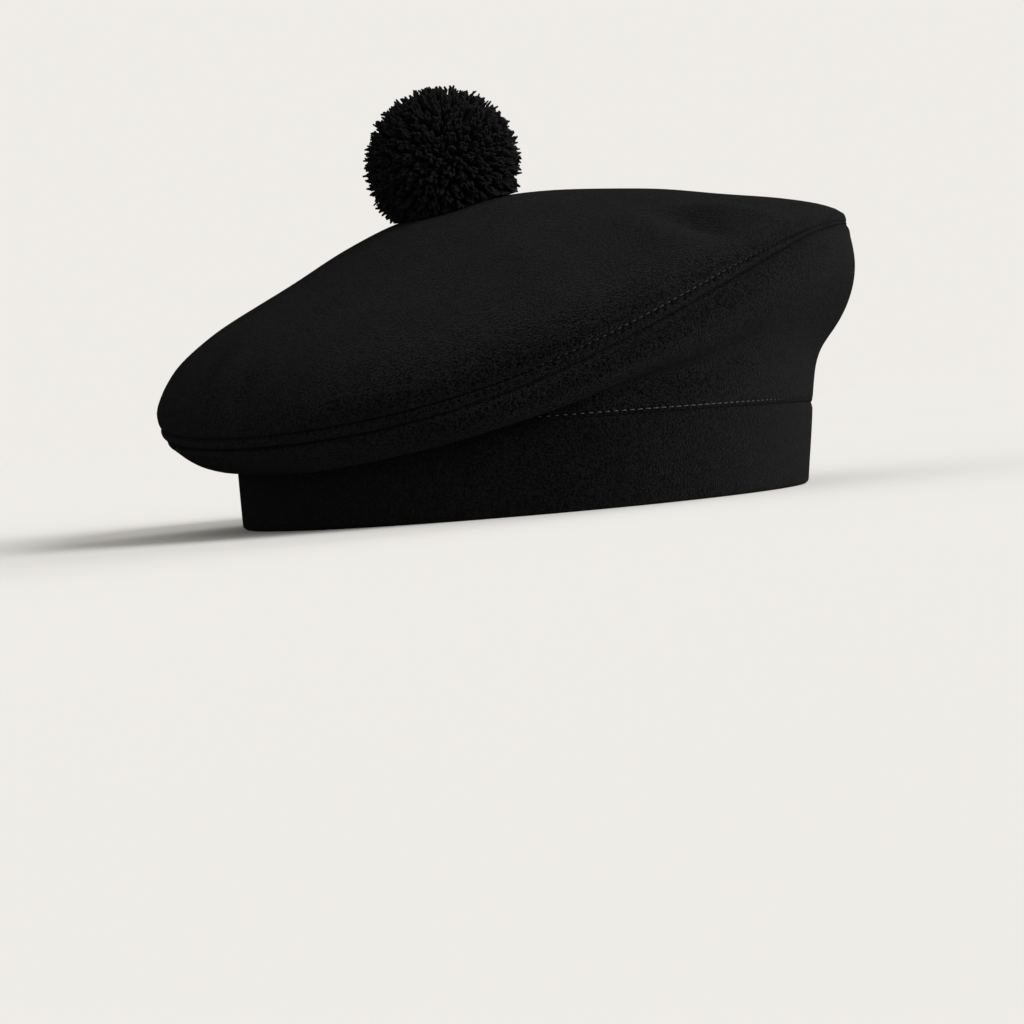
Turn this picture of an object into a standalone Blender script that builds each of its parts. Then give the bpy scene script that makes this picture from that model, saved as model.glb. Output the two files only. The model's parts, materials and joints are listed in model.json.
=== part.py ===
"""A tam o'shanter: a plain headband, a soft crown of two felt panels that stands
higher at one side, and a yarn pompom. Metres, +Z up, the front of the hat at -Y."""

import math
import random
from collections import namedtuple

import bmesh
import bpy
import numpy as np
from mathutils import Matrix
from mathutils import Vector

# Sizes of the band.
HEAD_LENGTH = 0.202  # inside the band, front to back, for a 57 cm head
HEAD_WIDTH = 0.162  # inside the band, side to side
BAND_WALL = 0.003  # felt folded double
BAND_HEIGHT = 0.0245
BAND_TILT = 0.0016  # how far the band's top leaves level
BAND_TILT_TURN = 225.0  # the turn where the band is tallest
BAND_FLARE = 0.0015  # how far the top stands outside the bottom
BAND_LEAN = 0.0015  # how far the top moves towards the crown's high side
BAND_HEM = 0.002  # how far its wall is upright at each edge, so that the edges are level
BAND_EDGE = 0.0006  # rounding of its edges

# Sizes of the crown.
FELT = 0.0015
GAP = 0.0003  # clearance between neighbouring pieces
OVERHANG = 0.025  # the unit of the table's out columns, measured from the band's top
STAND = 0.070  # the unit of the table's up columns, measured from the band's top
SEAM_FLAT = 0.0012  # straight felt on each side of the rim's seam
DRAPE_TURN = -19.0  # where turn 0, the crown's high side, lies about +Z from +X
APEX_BACK = 0.0148  # from the band's centre towards the low side
APEX_SIDE = 0.005  # from there towards the front
APEX_UP = 0.96  # a share of STAND
SLOPE_SHARE = 0.45  # of the way from a section's shoulder to the apex
CREST_SHARE = 0.80

# Sizes of the pompom.
POMPOM_WIDTH = 0.0475
POMPOM_HEIGHT = 0.0445  # before the crown presses into its underside
POMPOM_LIFT = 0.0145  # its middle over the apex
LOCK_LENGTH = 0.0036  # length of its yarn locks
LOCK_SPREAD = 0.45  # how much the locks differ, a share of their length
LOCK_SPLAY = 0.15  # how far a tip strays sideways, a share of the length
LOCK_DRIFT = 0.00045  # how far the locks' roots leave an even spacing

# Fineness.
SECTIONS_ROUND = 60
SOFTENING = 2  # rounds of averaging along the under panel's folds
POMPOM_ROUNDS = 4

Section = namedtuple(
    "Section",
    "tuck_out tuck_up fold_out fold_up belly_out belly_up rim_out rim_up "
    "nose_out nose_up shoulder_out shoulder_up slope_up crest_up",
)

# One row for every 30 degrees of turn, the first at the high side. The profile
# leaves the band at the tuck, hangs to the fold, rises over the belly to the
# seam at the rim, and passes the nose and shoulder onto the flat top.
SECTIONS = (
    Section(0.12, 0.16, 0.61, 0.33, 0.81, 0.57, 0.76, 0.72, 0.70, 0.76, 0.38, 0.82, 0.98, 1.00),
    Section(0.06, 0.18, 0.31, 0.36, 0.59, 0.59, 0.51, 0.77, 0.51, 0.81, 0.27, 0.86, 0.99, 1.01),
    Section(0.03, 0.16, 0.19, 0.34, 0.35, 0.54, 0.27, 0.74, 0.29, 0.79, 0.07, 0.85, 0.99, 1.01),
    Section(0.04, 0.15, 0.18, 0.26, 0.26, 0.44, 0.14, 0.61, 0.18, 0.67, -0.02, 0.75, 0.92, 0.99),
    Section(0.09, 0.09, 0.23, 0.12, 0.35, 0.26, 0.29, 0.42, 0.35, 0.49, 0.17, 0.61, 0.84, 0.95),
    Section(0.15, 0.06, 0.31, -0.01, 0.51, 0.09, 0.59, 0.24, 0.67, 0.32, 0.43, 0.47, 0.75, 0.92),
    Section(0.16, 0.06, 0.32, -0.06, 0.64, -0.01, 0.86, 0.09, 0.93, 0.19, 0.60, 0.39, 0.71, 0.91),
    Section(0.15, 0.07, 0.33, -0.10, 0.67, -0.06, 0.93, 0.01, 1.03, 0.13, 0.69, 0.34, 0.69, 0.90),
    Section(0.10, 0.07, 0.34, -0.13, 0.60, -0.08, 0.72, -0.01, 0.84, 0.10, 0.53, 0.31, 0.68, 0.90),
    Section(0.04, 0.09, 0.19, -0.01, 0.37, 0.04, 0.31, 0.11, 0.40, 0.21, 0.16, 0.38, 0.74, 0.92),
    Section(0.02, 0.16, 0.10, 0.26, 0.27, 0.38, 0.17, 0.48, 0.21, 0.55, -0.01, 0.63, 0.84, 0.97),
    Section(0.03, 0.19, 0.13, 0.35, 0.43, 0.58, 0.38, 0.75, 0.40, 0.80, 0.15, 0.84, 0.94, 0.99),
)


def clear_scene():
    for obj in list(bpy.data.objects):
        bpy.data.objects.remove(obj, do_unlink=True)


def direction(turn):
    """The level unit vector that points outward at a turn, in degrees."""
    angle = math.radians(turn + DRAPE_TURN)
    return np.array((math.cos(angle), math.sin(angle), 0.0))


def around(turn, column):
    """A column of the table at any turn, on a closed cubic B-spline through the rows."""
    place = turn % 360.0 / 360.0 * len(SECTIONS)
    row = int(place)
    t = place - row
    weights = ((1 - t) ** 3, 3 * t**3 - 6 * t**2 + 4, -3 * t**3 + 3 * t**2 + 3 * t + 1, t**3)
    near = [getattr(SECTIONS[(row + step) % len(SECTIONS)], column) for step in (-1, 0, 1, 2)]
    return sum(weight * value for weight, value in zip(weights, near)) / 6.0


def wall_radius(turn):
    """From the band's centre to the outside of its bottom edge."""
    across, along, _ = direction(turn)
    half_width = HEAD_WIDTH / 2 + BAND_WALL
    half_length = HEAD_LENGTH / 2 + BAND_WALL
    return 1.0 / math.hypot(across / half_width, along / half_length)


def band_bottom(turn):
    return direction(turn) * wall_radius(turn)


def band_top(turn):
    """The outside of the band's top edge."""
    point = direction(turn) * (wall_radius(turn) + BAND_FLARE) + direction(0.0) * BAND_LEAN
    rise = BAND_TILT * math.cos(math.radians(turn - BAND_TILT_TURN))
    return point + np.array((0.0, 0.0, BAND_HEIGHT + rise))


def band_line(turn):
    """The band's outer face at a turn, from its bottom edge to its top edge."""
    hem = np.array((0.0, 0.0, BAND_HEM))
    low = band_bottom(turn)
    high = band_top(turn)
    return low, low + hem, high - hem, high


def apex():
    """The top's middle, under the pompom."""
    point = direction(180.0) * APEX_BACK + direction(270.0) * APEX_SIDE
    return point + np.array((0.0, 0.0, BAND_HEIGHT + STAND * APEX_UP))


def table_point(turn, name):
    point = band_top(turn) + direction(turn) * OVERHANG * around(turn, name + "_out")
    point[2] = BAND_HEIGHT + STAND * around(turn, name + "_up")
    return point


def towards_apex(turn, share, column):
    """A point of the top between the shoulder and the apex in plan, at a column's height."""
    shoulder = table_point(turn, "shoulder")
    point = shoulder + (apex() - shoulder) * share
    point[2] = BAND_HEIGHT + STAND * around(turn, column)
    return point


def profile(turn):
    """The crown's control points at a turn, from the band to the apex, and where the seam lies."""
    belly = table_point(turn, "belly")
    rim = table_point(turn, "rim")
    nose = table_point(turn, "nose")
    rising = (nose - belly) / np.linalg.norm(nose - belly)
    start = band_top(turn) + np.array((0.0, 0.0, GAP))
    under = [start, table_point(turn, "tuck"), table_point(turn, "fold"), belly]
    seam = [rim - rising * SEAM_FLAT, rim + rising * SEAM_FLAT]
    top = [nose, table_point(turn, "shoulder")]
    top.append(towards_apex(turn, SLOPE_SHARE, "slope_up"))
    top.append(towards_apex(turn, CREST_SHARE, "crest_up"))
    top.append(apex())
    return under + seam + top, rim, rising


def curve_between(before, start, end, after, pieces):
    """Points from start towards end, without end, on a centripetal Catmull-Rom curve."""
    times = [0.0]
    for first, second in ((before, start), (start, end), (end, after)):
        times.append(times[-1] + math.sqrt(np.linalg.norm(second - first)))
    t0, t1, t2, t3 = times
    points = []
    for index in range(pieces):
        t = t1 + (t2 - t1) * index / pieces
        a1 = ((t1 - t) * before + (t - t0) * start) / (t1 - t0)
        a2 = ((t2 - t) * start + (t - t1) * end) / (t2 - t1)
        a3 = ((t3 - t) * end + (t - t2) * after) / (t3 - t2)
        b1 = ((t2 - t) * a1 + (t - t0) * a2) / (t2 - t0)
        b2 = ((t3 - t) * a2 + (t - t1) * a3) / (t3 - t1)
        points.append(((t2 - t) * b1 + (t - t1) * b2) / (t2 - t1))
    return points


def curve_through(controls, spans):
    """Points over some spans of the control points; spans lists (first index, pieces)."""
    ends = [2 * controls[0] - controls[1]] + controls + [2 * controls[-1] - controls[-2]]
    points = []
    for index, pieces in spans:
        before, start, end, after = ends[index : index + 4]
        points += curve_between(before, start, end, after, pieces)
    return points


def soften(line):
    """Rounds the bends of a line a little, as felt does, and keeps both ends."""
    for _ in range(SOFTENING):
        pairs = zip(line, line[1:-1], line[2:])
        line = [line[0]] + [(a + 2 * b + c) / 4 for a, b, c in pairs] + [line[-1]]
    return line


def under_line(turn):
    """The under panel's outer face at a turn, from the band to the seam."""
    controls, rim, rising = profile(turn)
    line = soften(curve_through(controls, ((0, 2), (1, 4), (2, 4), (3, 3))))
    return line + [controls[4], rim - rising * GAP / 2]


def top_line(turn):
    """The top panel's outer face at a turn, from the seam nearly to the apex."""
    controls, rim, rising = profile(turn)
    line = [rim + rising * GAP / 2]
    return line + curve_through(controls, ((5, 1), (6, 3), (7, 3), (8, 2), (9, 2)))


def turns():
    return [360.0 * index / SECTIONS_ROUND for index in range(SECTIONS_ROUND)]


def make_material(name, colour, roughness):
    material = bpy.data.materials.new(name)
    material.use_nodes = True
    shader = material.node_tree.nodes["Principled BSDF"]
    shader.inputs["Base Color"].default_value = (*colour, 1.0)
    shader.inputs["Roughness"].default_value = roughness
    return material


def make_object(name, mesh, collection, material):
    mesh.name = name
    mesh.materials.append(material)
    obj = bpy.data.objects.new(name, mesh)
    collection.objects.link(obj)
    for polygon in mesh.polygons:
        polygon.use_smooth = True
    return obj


def sheet(lines, tip=None):
    """A mesh over closed rounds of points; tip closes its last round."""
    rounds = len(lines[0])
    points = [point for ring in range(rounds) for point in (line[ring] for line in lines)]
    count = len(lines)
    faces = []
    for ring in range(rounds - 1):
        for index in range(count):
            after = (index + 1) % count
            low = ring * count
            high = low + count
            faces.append((low + index, low + after, high + after, high + index))
    if tip is not None:
        last = (rounds - 1) * count
        points.append(tip)
        for index in range(count):
            faces.append((last + index, last + (index + 1) % count, len(points) - 1))
    mesh = bpy.data.meshes.new("sheet")
    mesh.from_pydata([tuple(point) for point in points], [], faces)
    mesh.update()
    return mesh


def thicken(obj, thickness):
    """Adds felt on the inner side of a sheet."""
    solidify = obj.modifiers.new("felt", "SOLIDIFY")
    solidify.thickness = thickness
    solidify.offset = -1.0
    solidify.use_even_offset = True


def build_headband(collection):
    material = make_material("band_felt", (0.012, 0.012, 0.013), 0.95)
    mesh = sheet([band_line(turn) for turn in turns()])
    band = make_object("headband", mesh, collection, material)
    thicken(band, BAND_WALL)
    bevel = band.modifiers.new("edge", "BEVEL")
    bevel.width = BAND_EDGE
    bevel.segments = 2
    bevel.limit_method = "ANGLE"
    bevel.angle_limit = math.radians(50.0)
    return band


def build_crown_under(collection):
    material = make_material("under_felt", (0.012, 0.012, 0.013), 0.95)
    mesh = sheet([under_line(turn) for turn in turns()])
    under = make_object("crown_under", mesh, collection, material)
    thicken(under, FELT)
    return under


def build_crown_top(collection):
    material = make_material("top_felt", (0.013, 0.013, 0.014), 0.95)
    mesh = sheet([top_line(turn) for turn in turns()], apex())
    top = make_object("crown_top", mesh, collection, material)
    thicken(top, FELT)
    return top


def height_over(crown, point):
    """How far a point is above the crown's outer face; a large value beside the crown."""
    start = Vector((point.x, point.y, 1.0))
    hit, place, _, _ = crown.ray_cast(start, Vector((0.0, 0.0, -1.0)))
    return point.z - place.z if hit else 1.0


def press_onto(vertices, crown):
    """Lifts the vertices that lie in the crown, or closer than GAP over it, to GAP over it."""
    for vertex in vertices:
        vertex.co.z += max(0.0, GAP - height_over(crown, vertex.co))


def stray(shuffle):
    return Vector([shuffle.uniform(-1.0, 1.0) for _ in range(3)])


def build_pompom(collection, top):
    """A ball whose free faces each rise to a yarn lock, pressed onto the crown below it."""
    material = make_material("yarn", (0.008, 0.008, 0.009), 1.0)
    bpy.context.view_layer.update()
    crown = top.evaluated_get(bpy.context.evaluated_depsgraph_get())
    shuffle = random.Random(11)
    core = POMPOM_WIDTH / 2 - LOCK_LENGTH
    squat = (POMPOM_HEIGHT / 2 - LOCK_LENGTH) / core
    centre = Matrix.Translation(Vector(apex()) + Vector((0.0, 0.0, POMPOM_LIFT)))
    ball = bmesh.new()
    bmesh.ops.create_icosphere(ball, subdivisions=POMPOM_ROUNDS, radius=core)
    for vertex in ball.verts:
        vertex.co += stray(shuffle) * LOCK_DRIFT
    bmesh.ops.transform(
        ball, matrix=centre @ Matrix.Diagonal((1.0, 1.0, squat, 1.0)), verts=ball.verts
    )
    press_onto(ball.verts, crown)
    ball.normal_update()
    free = []
    tips = []
    for face in ball.faces:
        length = LOCK_LENGTH * (1.0 - LOCK_SPREAD * shuffle.random())
        lean = (face.normal + stray(shuffle) * LOCK_SPLAY).normalized()
        tip = face.calc_center_median() + lean * length
        roots = min(height_over(crown, vertex.co) for vertex in face.verts)
        if roots > 4 * GAP and height_over(crown, tip) > 4 * GAP:
            free.append(face)
            tips.append(tip)
    for vertex, tip in zip(bmesh.ops.poke(ball, faces=free)["verts"], tips):
        vertex.co = tip
    mesh = bpy.data.meshes.new("pompom")
    ball.to_mesh(mesh)
    ball.free()
    pompom = make_object("pompom", mesh, collection, material)
    for polygon in mesh.polygons:
        polygon.use_smooth = False
    return pompom


def centre_on_origin(objects):
    """Moves the hat so that the middle of its box stands over the origin."""
    bpy.context.view_layer.update()
    graph = bpy.context.evaluated_depsgraph_get()
    corners = []
    for obj in objects:
        box = obj.evaluated_get(graph).bound_box
        corners += [obj.matrix_world @ Vector(corner) for corner in box]
    middle = [(min(c[i] for c in corners) + max(c[i] for c in corners)) / 2 for i in (0, 1)]
    shift = Matrix.Translation((-middle[0], -middle[1], 0.0))
    for obj in objects:
        obj.data.transform(shift)


def main():
    clear_scene()
    collection = bpy.data.collections.new("tam_o_shanter")
    bpy.context.scene.collection.children.link(collection)
    band = build_headband(collection)
    under = build_crown_under(collection)
    top = build_crown_top(collection)
    pompom = build_pompom(collection, top)
    centre_on_origin((band, under, top, pompom))


if __name__ == "__main__":
    main()
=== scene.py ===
"""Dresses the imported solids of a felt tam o'shanter: cloth panels with turned edges and
topstitching, a yarn pompom, and a pale studio. Metres, +Z up, the front of the hat at -Y."""

import json
import math
import random
from collections import namedtuple

import bmesh
import bpy
import numpy as np
from bpy.props import FloatProperty
from bpy.props import FloatVectorProperty
from bpy.props import IntProperty
from bpy.props import PointerProperty
from mathutils import Matrix
from mathutils import Vector
from mathutils.bvhtree import BVHTree

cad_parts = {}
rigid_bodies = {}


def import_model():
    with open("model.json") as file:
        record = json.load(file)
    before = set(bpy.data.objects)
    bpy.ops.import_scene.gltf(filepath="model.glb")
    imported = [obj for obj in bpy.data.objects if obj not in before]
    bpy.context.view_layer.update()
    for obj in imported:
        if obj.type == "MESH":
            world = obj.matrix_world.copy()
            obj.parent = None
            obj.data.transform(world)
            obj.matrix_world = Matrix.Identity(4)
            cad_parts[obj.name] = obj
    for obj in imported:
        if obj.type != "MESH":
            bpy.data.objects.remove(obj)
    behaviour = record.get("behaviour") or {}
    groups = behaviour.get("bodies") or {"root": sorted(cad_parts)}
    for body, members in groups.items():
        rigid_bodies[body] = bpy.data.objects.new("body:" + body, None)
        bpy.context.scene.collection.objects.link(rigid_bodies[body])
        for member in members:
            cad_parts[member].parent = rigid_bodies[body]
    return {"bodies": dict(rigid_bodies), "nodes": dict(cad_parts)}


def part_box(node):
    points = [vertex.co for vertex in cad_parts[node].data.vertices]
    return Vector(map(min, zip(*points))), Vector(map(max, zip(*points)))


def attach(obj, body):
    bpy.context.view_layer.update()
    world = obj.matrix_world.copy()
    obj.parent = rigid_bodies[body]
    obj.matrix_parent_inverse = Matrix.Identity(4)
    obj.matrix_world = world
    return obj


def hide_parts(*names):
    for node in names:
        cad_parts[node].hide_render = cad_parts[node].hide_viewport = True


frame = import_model()
for leftover in set(bpy.data.objects) - {*frame["nodes"].values(), *frame["bodies"].values()}:
    bpy.data.objects.remove(leftover)
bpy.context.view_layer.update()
POMPOM_LOW, POMPOM_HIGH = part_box("pompom")

bl_info = {
    "name": "Tam O'Shanter",
    "version": (1, 0, 0),
    "blender": (4, 5, 0),
    "location": "3D View > Sidebar > Tam",
    "description": "Dresses a felt tam o'shanter in cloth, stitches and yarn",
    "category": "Object",
}

# Fineness of the cloth.
COLUMNS = 480  # round the hat
BAND_COLUMNS = 360
FINE = 8  # pieces between two points of a section when it is measured

# The section of the crown, as in the solids: shares of OVERHANG and STAND, one row
# for every 30 degrees of turn, the first at the high side.
DRAPE_TURN = -19.0
OVERHANG = 0.025
STAND = 0.070
SEAM_FLAT = 0.0012
OVERLAP = 0.0001  # how far the cloth of two panels runs past their seam
BAND_HIGH_TURN = 225.0  # where the band's top edge is highest
APEX_BACK = 0.0148
APEX_SIDE = 0.005
APEX_UP = 0.96
SLOPE_SHARE = 0.45
CREST_SHARE = 0.80
SOFTENING = 2
Section = namedtuple(
    "Section",
    "tuck_out tuck_up fold_out fold_up belly_out belly_up rim_out rim_up "
    "nose_out nose_up shoulder_out shoulder_up slope_up crest_up",
)
SECTIONS = (
    Section(0.12, 0.16, 0.61, 0.33, 0.81, 0.57, 0.76, 0.72, 0.70, 0.76, 0.38, 0.82, 0.98, 1.00),
    Section(0.06, 0.18, 0.31, 0.36, 0.59, 0.59, 0.51, 0.77, 0.51, 0.81, 0.27, 0.86, 0.99, 1.01),
    Section(0.03, 0.16, 0.19, 0.34, 0.35, 0.54, 0.27, 0.74, 0.29, 0.79, 0.07, 0.85, 0.99, 1.01),
    Section(0.04, 0.15, 0.18, 0.26, 0.26, 0.44, 0.14, 0.61, 0.18, 0.67, -0.02, 0.75, 0.92, 0.99),
    Section(0.09, 0.09, 0.23, 0.12, 0.35, 0.26, 0.29, 0.42, 0.35, 0.49, 0.17, 0.61, 0.84, 0.95),
    Section(0.15, 0.06, 0.31, -0.01, 0.51, 0.09, 0.59, 0.24, 0.67, 0.32, 0.43, 0.47, 0.75, 0.92),
    Section(0.16, 0.06, 0.32, -0.06, 0.64, -0.01, 0.86, 0.09, 0.93, 0.19, 0.60, 0.39, 0.71, 0.91),
    Section(0.15, 0.07, 0.33, -0.10, 0.67, -0.06, 0.93, 0.01, 1.03, 0.13, 0.69, 0.34, 0.69, 0.90),
    Section(0.10, 0.07, 0.34, -0.13, 0.60, -0.08, 0.72, -0.01, 0.84, 0.10, 0.53, 0.31, 0.68, 0.90),
    Section(0.04, 0.09, 0.19, -0.01, 0.37, 0.04, 0.31, 0.11, 0.40, 0.21, 0.16, 0.38, 0.74, 0.92),
    Section(0.02, 0.16, 0.10, 0.26, 0.27, 0.38, 0.17, 0.48, 0.21, 0.55, -0.01, 0.63, 0.84, 0.97),
    Section(0.03, 0.19, 0.13, 0.35, 0.43, 0.58, 0.38, 0.75, 0.40, 0.80, 0.15, 0.84, 0.94, 0.99),
)

# Where the cloth is finely divided, as distances from its edges.
TOP_EDGE = (0.0, 0.0001, 0.0003, 0.0006, 0.001, 0.0014, 0.0018, 0.0022, 0.0026, 0.003, 0.0033,
            0.0036, 0.0039, 0.0042, 0.0046, 0.0051, 0.0058, 0.0068, 0.008, 0.0098, 0.012)
TOP_ROUNDS = 44
UNDER_EDGE = (0.0, 0.0001, 0.0003, 0.0006, 0.001, 0.0014, 0.0018, 0.0022, 0.0028, 0.0038, 0.005)
UNDER_ROUNDS = 36

# Soft creases and ridges of the crown: a start and an end, each as turn, radius and
# height in degrees and millimetres, then the half width and the lift in millimetres.
TOP_CREASES = (
    (211, 97, 52, 212, 107, 39, 3.0, -2.1),
    (219, 100, 49, 216, 109, 36, 2.8, 1.7),
    (226, 103, 46, 224, 110, 34, 3.2, -1.9),
    (273, 62, 78, 280, 112, 50, 9.0, 1.1),
    (302, 62, 83, 299, 107, 65, 7.0, 1.3),
    (310, 77, 81, 308, 103, 73, 5.5, -2.3),
    (315, 73, 84, 320, 104, 77, 5.0, 1.9),
)
UNDER_CREASES = (
    (286, 107, 32, 313, 105, 43, 5.0, -2.8),
    (284, 111, 38, 314, 108, 50, 4.5, 1.1),
)
RUN_ON = 0.3  # how far a crease fades past each end, as a share of its run

# How the cloth lies at its seams: depths, heights and reaches in metres.
SEAM_DEPTH = 0.0013
SEAM_REACH = 0.0005
BAND_SEAM_SHARE = 0.5  # of the seam's depth, where the under panel meets the band
TOP_GROOVE = 0.0008  # along the top's stitches
TOP_GROOVE_REACH = 0.0006
BAND_GROOVE = 0.0001  # along the band's stitches
BAND_GROOVE_REACH = 0.0005
SWELL = 0.0002  # of the top inside its stitches
SWELL_RISE = 0.0016
SWELL_FADE = 0.009
LIP = 0.0003  # of the under panel beside the rim's seam
LIP_PLACE = 0.0018
LIP_REACH = 0.0012
FULLNESS = 0.0009  # of the under panel at the high side
FULLNESS_PLACE = 0.020
FULLNESS_REACH = 0.012

# The turned edge of the top is narrower near one turn.
NARROW_TURN = 350.0
NARROW_REACH = 36.0
NARROWING = 0.72

# The low irregular waves of the felt, and how far from a seam they reach full height.
WAVES = 9
WAVE_LENGTHS = (0.030, 0.075)
BAND_WAVES = 0.00022
CROWN_WAVES = 0.00013
UNDER_CALM = 0.006
TOP_CALM = 0.008

# The section of the band: rows of points, and the rounding of its outer top edge.
OUTER_ROWS = 15
FOLD_ROWS = 9
INNER_ROWS = 9
BAND_ROUNDING = 0.0005
BAND_ROUNDING_REACH = 0.0006
BAND_CROWN = 0.0003  # rise of the top edge's middle

# One stitch: places along it as shares of half its length, and its rise and width
# there as shares of the thread's thickness. The stitches lie highest near one turn.
STITCH_PLACES = (-1.25, -0.95, -0.5, 0.0, 0.5, 0.95, 1.25)
STITCH_RISE = (-0.9, -0.3, 0.25, 0.4, 0.25, -0.3, -0.9)
STITCH_WIDTH = (0.5, 0.95, 1.0, 1.0, 1.0, 0.95, 0.5)
STITCH_SIDES = 7
STITCH_PLIES = 14.0
SHOWN_TURN = 292.0
SHOWN_REACH = 28.0

# One yarn end: places along it and its width there, as shares of its length and of
# the yarn's thickness, and the share of its length where it starts to lean.
YARN_LENGTHS = (0.92, 1.035)
YARN_PLACES = (0.60, 0.76, 0.87, 0.95, 1.0)
YARN_WIDTHS = (0.8, 1.0, 1.1, 1.0, 0.5)
YARN_STRAY = 0.014
YARN_SIDES = 5
LEAN_FROM = 0.45
CORE_SHARE = 0.78
CLEARANCE = 0.0008  # between the yarn and the crown

# The lights: degrees round from the camera, degrees over the floor, and softness.
KEY_PLACE = (64, 30, 35)
LOW_PLACE = (38, 9, 40)
RIM_PLACE = (138, 24, 30)
SKY_TINT = (1.0, 0.975, 0.93, 1.0)
FLOOR_RADIUS = 12.0


class TamSizes(bpy.types.PropertyGroup):
    """Sizes of the hat."""

    head_length: FloatProperty(
        name="Head length", description="Inside the band, front to back", default=0.202,
        unit="LENGTH")
    head_width: FloatProperty(
        name="Head width", description="Inside the band, side to side", default=0.162,
        unit="LENGTH")
    band_wall: FloatProperty(
        name="Band wall", description="Felt folded double", default=0.003, unit="LENGTH")
    band_height: FloatProperty(
        name="Band height", description="Height of the headband", default=0.0245,
        unit="LENGTH")
    band_tilt: FloatProperty(
        name="Band tilt", description="How far the band's top leaves level", default=0.0016,
        unit="LENGTH")
    band_flare: FloatProperty(
        name="Band flare", description="How far the band's top stands outside its bottom",
        default=0.0015, unit="LENGTH")
    band_lean: FloatProperty(
        name="Band lean", description="How far the band's top moves to the high side",
        default=0.0015, unit="LENGTH")
    felt: FloatProperty(
        name="Felt", description="Thickness of the crown's felt", default=0.0015,
        unit="LENGTH")
    roll: FloatProperty(
        name="Edge roll", description="How far the turned edge of the top stands proud",
        default=0.0004, unit="LENGTH")
    roll_width: FloatProperty(
        name="Edge width", description="From the rim's seam to the topstitching",
        default=0.0036, unit="LENGTH")
    band_roll_width: FloatProperty(
        name="Band stitch height", description="From the band's seam to its topstitching",
        default=0.0014, unit="LENGTH")


class TamStitches(bpy.types.PropertyGroup):
    """Sewing of the hat."""

    pitch: FloatProperty(
        name="Stitch pitch", description="From one stitch to the next", default=0.00235,
        unit="LENGTH")
    length: FloatProperty(
        name="Stitch length", description="Thread that shows in one stitch",
        default=0.0015, unit="LENGTH")
    sunk: FloatProperty(
        name="Sunk", description="How deep the stitches lie in the nap away from the front",
        default=0.00026, unit="LENGTH")
    thread: FloatProperty(
        name="Thread", description="Thickness of the thread", default=0.0003,
        unit="LENGTH")


class TamYarn(bpy.types.PropertyGroup):
    """Sizes of the pompom."""

    strands: IntProperty(
        name="Strands", description="Number of yarn ends", default=4200)
    thickness: FloatProperty(
        name="Yarn", description="Thickness of one yarn end", default=0.00098,
        unit="LENGTH")
    tufts: IntProperty(
        name="Tufts", description="Number of tufts that the ends gather in", default=480)
    gather: FloatProperty(
        name="Gather", description="How far the ends lean to their tuft", default=0.4,
        subtype="FACTOR")


class TamColours(bpy.types.PropertyGroup):
    """Colours of the hat and of the studio."""

    felt: FloatVectorProperty(
        name="Felt", description="Colour of the felt", default=(0.0040, 0.0040, 0.0042),
        subtype="COLOR")
    thread: FloatVectorProperty(
        name="Thread", description="Colour of the topstitching",
        default=(0.026, 0.026, 0.0265), subtype="COLOR")
    yarn: FloatVectorProperty(
        name="Yarn", description="Colour of the pompom", default=(0.0024, 0.0024, 0.0025),
        subtype="COLOR")
    floor: FloatVectorProperty(
        name="Floor", description="Colour of the floor",
        default=(0.446, 0.440, 0.428), subtype="COLOR")


class TamStudio(bpy.types.PropertyGroup):
    """Camera and lights."""

    azimuth: FloatProperty(
        name="Azimuth", description="Where the camera stands round the hat",
        default=math.radians(-19.0), subtype="ANGLE")
    elevation: FloatProperty(
        name="Elevation", description="The camera's rise over the horizon",
        default=math.radians(1.8), subtype="ANGLE")
    roll: FloatProperty(
        name="Roll", description="Turn of the camera about its line of sight",
        default=math.radians(5.1), subtype="ANGLE")
    lens: FloatProperty(
        name="Lens", description="Focal length in millimetres", default=116.0)
    distance: FloatProperty(
        name="Distance", description="From the camera to the hat", default=1.009,
        unit="LENGTH")
    aim_left: FloatProperty(
        name="Aim left", description="How far left of the band's middle the camera aims",
        default=0.0032, unit="LENGTH")
    aim_down: FloatProperty(
        name="Aim down", description="How far below the band's middle the camera aims",
        default=0.0020, unit="LENGTH")
    key: FloatProperty(
        name="Key light", description="Power of the large light at the right", default=1.55)
    low: FloatProperty(
        name="Low light", description="Power of the low light in front", default=0.4)
    rim: FloatProperty(
        name="Rim light", description="Power of the light behind, at the right",
        default=0.6)
    sky: FloatProperty(
        name="Sky", description="Strength of the even light from all round", default=0.86)


def settings():
    scene = bpy.context.scene
    return scene.tam_sizes, scene.tam_stitches, scene.tam_yarn, scene.tam_colours, scene.tam_studio


def band_middle():
    """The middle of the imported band's bottom edge."""
    low = [v.co for v in frame["nodes"]["headband"].data.vertices if v.co.z < 0.001]
    middle = [(min(c[axis] for c in low) + max(c[axis] for c in low)) / 2 for axis in (0, 1)]
    return np.array((middle[0], middle[1], 0.0))


def direction(turn):
    """The level unit vector that points outward at a turn, in degrees."""
    angle = math.radians(turn + DRAPE_TURN)
    return np.array((math.cos(angle), math.sin(angle), 0.0))


def around(turn, column):
    """A column of the table at any turn, on a closed cubic B-spline through the rows."""
    place = turn % 360.0 / 360.0 * len(SECTIONS)
    row = int(place)
    t = place - row
    weights = ((1 - t) ** 3, 3 * t**3 - 6 * t**2 + 4, -3 * t**3 + 3 * t**2 + 3 * t + 1, t**3)
    near = [getattr(SECTIONS[(row + step) % len(SECTIONS)], column) for step in (-1, 0, 1, 2)]
    return sum(weight * value for weight, value in zip(weights, near)) / 6.0


def wall_radius(sizes, turn):
    """From the band's middle to the outside of its bottom edge."""
    across, along, _ = direction(turn)
    half_width = sizes.head_width / 2 + sizes.band_wall
    half_length = sizes.head_length / 2 + sizes.band_wall
    return 1.0 / math.hypot(across / half_width, along / half_length)


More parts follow.
